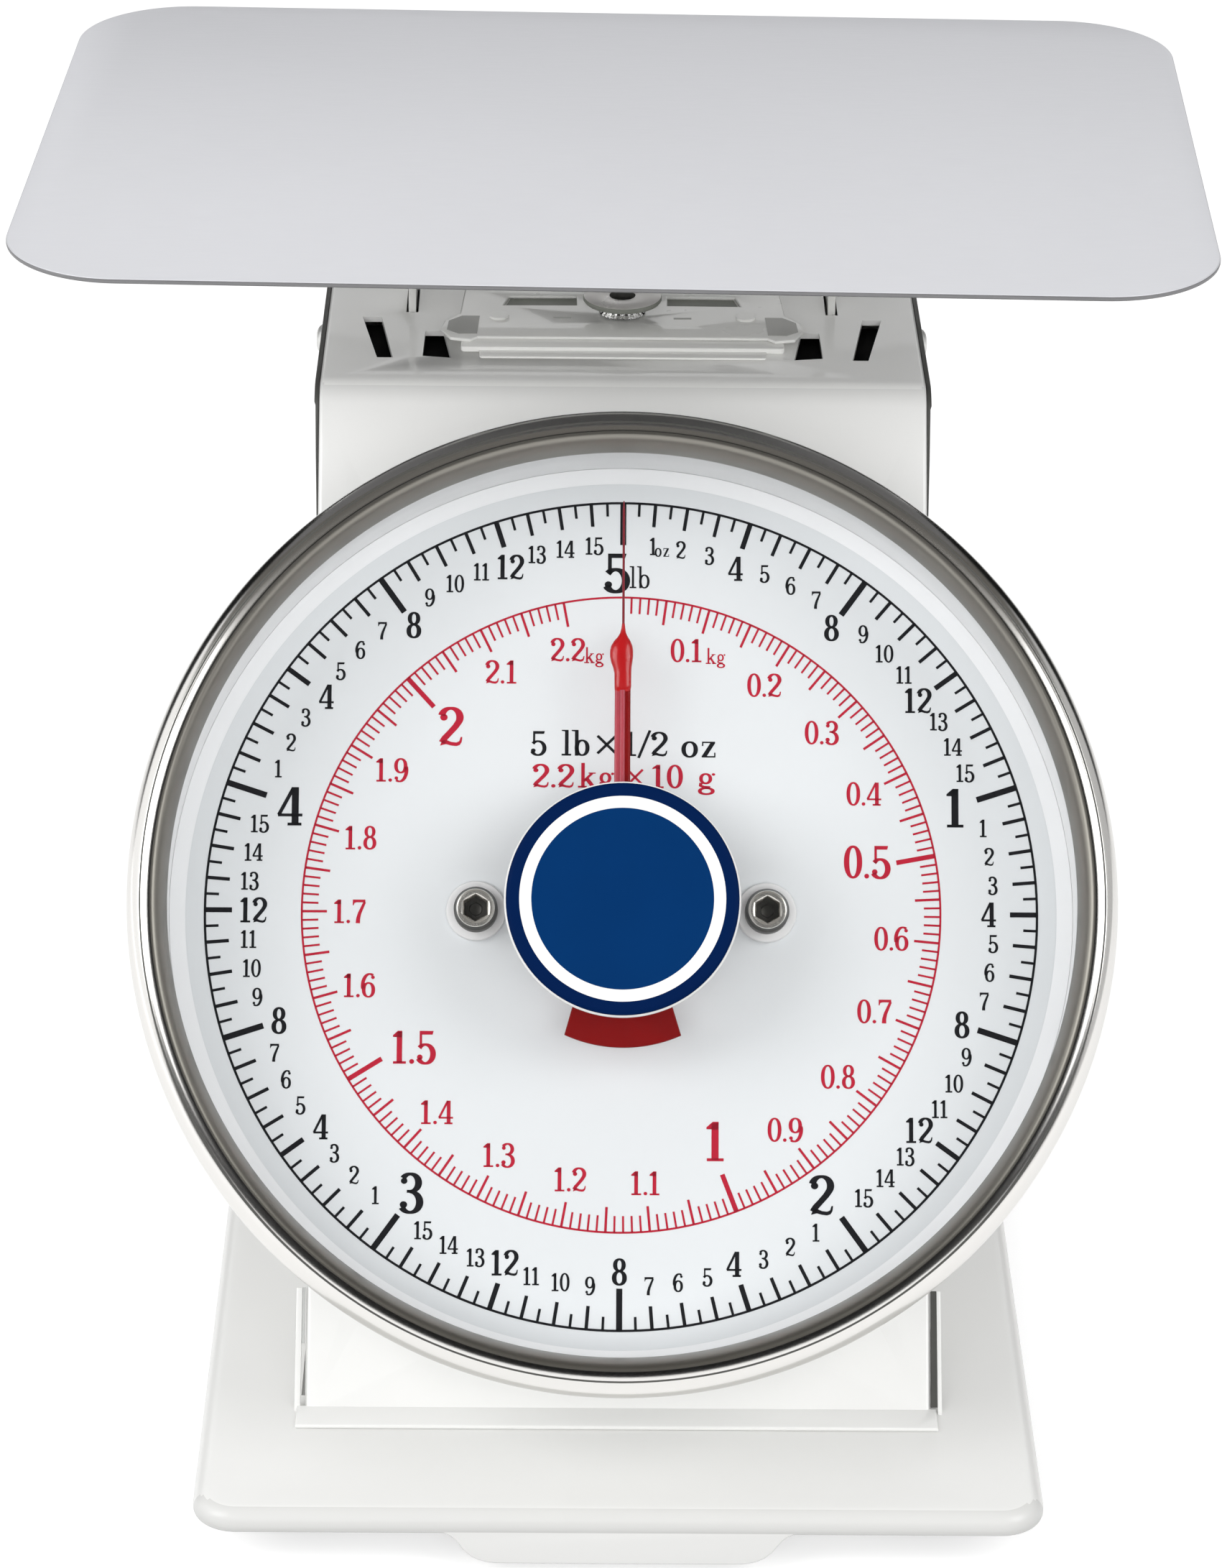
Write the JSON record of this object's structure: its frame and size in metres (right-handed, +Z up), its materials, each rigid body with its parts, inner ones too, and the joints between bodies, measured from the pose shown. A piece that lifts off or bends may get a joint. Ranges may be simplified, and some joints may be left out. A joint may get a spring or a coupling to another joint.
{
  "type": "mechanical dial platform scale",
  "caption": "Spring platform scale with a tilted round dial, red pointer, stainless bezel, blue centre knob, white sheet-metal column and a flat rounded platform.",
  "frame": {"origin": "on the table plane, at the middle of the footprint", "axes": "+Z up, the dial faces -Y, +X to the right of someone reading it"},
  "size_m": [0.2518, 0.2871, 0.234],
  "materials": {
    "white_enamel": "gloss stoved enamel, warm white",
    "bridge_enamel": "gloss enamel on a stamped bracket",
    "platform_steel": "satin stainless sheet",
    "polished_stainless": "polished rolled ring",
    "clear_lens": "clear moulded lens",
    "dial_white": "printed white dial plate",
    "pan_white": "painted drum",
    "pointer_red": "red lacquer",
    "ink_black": "screen-printed ink",
    "knob_white": "gloss moulded plastic",
    "knob_blue": "gloss printed plastic",
    "gasket_white": "soft seal",
    "black_rubber": "matt moulded rubber",
    "zinc_steel": "zinc plated",
    "socket_steel": "plated socket screw",
    "frame_steel": "galvanised sheet",
    "spring_steel": "oiled spring wire",
    "brass": "machined brass",
    "chrome_screw": "bright plated",
    "black_plastic": "moulded",
    "washer_white": "nylon"
  },
  "bodies": {
    "housing": {"base_pan": "white_enamel", "rubber_feet": "black_rubber", "foot_screws": "zinc_steel", "front_housing": "white_enamel", "left_side_panel": "white_enamel", "right_side_panel": "white_enamel", "rear_cover": "white_enamel", "rear_cover_screws": "zinc_steel", "side_screws": "zinc_steel", "dial_pan": "pan_white", "dial_posts": "zinc_steel", "dial_plate": "dial_white", "dial_washers": "washer_white", "dial_screws": "socket_steel", "bezel_ring": "polished_stainless", "lens_gasket": "gasket_white", "lens": "clear_lens", "movement_front_plate": "brass", "movement_rear_plate": "brass", "movement_pillars": "zinc_steel", "shaft_bushes": "brass", "inner_frame": "frame_steel", "frame_bolts": "zinc_steel", "link_pivot_pins": "zinc_steel", "damper_cylinder": "frame_steel", "damper_cap": "black_plastic", "top_bridge": "bridge_enamel", "bridge_rivets": "zinc_steel"},
    "platform_carriage": {"platform": "platform_steel", "platform_bridge": "bridge_enamel", "platform_studs": "zinc_steel", "carriage": "frame_steel", "carriage_crossbar": "frame_steel", "spring_hooks": "zinc_steel", "carriage_pins": "zinc_steel", "damper_piston": "zinc_steel", "left_spring": "spring_steel", "right_spring": "spring_steel"},
    "rack": {"rack": "brass"},
    "pointer": {"pinion": "brass", "pinion_shaft": "zinc_steel", "pointer": "pointer_red", "pointer_hub": "brass"},
    "upper_link": {"upper_link": "frame_steel"},
    "lower_link": {"lower_link": "frame_steel"},
    "knob": {"knob_body": "knob_white", "knob_cap": "knob_blue", "knob_retainer": "zinc_steel"},
    "zero_screw": {"zero_screw": "chrome_screw", "zero_screw_collar": "zinc_steel"},
    "spring_hanger": {"spring_hanger": "frame_steel"}
  },
  "joints": [
    {"name": "platform_travel", "type": "slide", "parent": "housing", "child": "platform_carriage", "axis": [0, 0, -1], "range_m": [0, 0.01238], "stiffness_N_per_m": 1800, "springref_m": -0.003, "deforming": ["left_spring", "right_spring"]},
    {"name": "rack_travel", "type": "slide", "parent": "housing", "child": "rack", "axis": [0, -0.5707, -0.8211], "range_m": [0, 0.0152]},
    {"name": "pointer_turn", "type": "hinge", "parent": "housing", "child": "pointer", "pos_m": [0, -0.0595, 0.107], "axis": [0, 0.8211, -0.5707], "range_deg": [0, 360.5]},
    {"name": "upper_link_swing", "type": "hinge", "parent": "housing", "child": "upper_link", "pos_m": [0, 0.0065, 0.122], "axis": [-1, 0, 0], "range_deg": [0, 12]},
    {"name": "lower_link_swing", "type": "hinge", "parent": "housing", "child": "lower_link", "pos_m": [0, 0.0065, 0.045], "axis": [-1, 0, 0], "range_deg": [0, 12]},
    {"name": "knob_turn", "type": "hinge", "parent": "housing", "child": "knob", "pos_m": [0, -0.0595, 0.107], "axis": [0, -0.8211, 0.5707], "range_deg": [-150, 150]},
    {"name": "zero_screw_turn", "type": "hinge", "parent": "housing", "child": "zero_screw", "pos_m": [0, 0.0555, 0.197], "axis": [0, 0, 1], "range_deg": [-720, 720]},
    {"name": "hanger_travel", "type": "slide", "parent": "housing", "child": "spring_hanger", "axis": [0, 0, 1], "range_m": [-0.0016, 0.0016]}
  ],
  "couplings": [
    {"joint": "rack_travel", "follows": "platform_travel", "ratio": 1.2178},
    {"joint": "pointer_turn", "follows": "platform_travel", "rad_per_m": 507.42},
    {"joint": "upper_link_swing", "follows": "platform_travel", "rad_per_m": 16.696},
    {"joint": "lower_link_swing", "follows": "platform_travel", "rad_per_m": 16.696},
    {"joint": "zero_screw_turn", "follows": "hanger_travel", "rad_per_m": 7854}
  ]
}
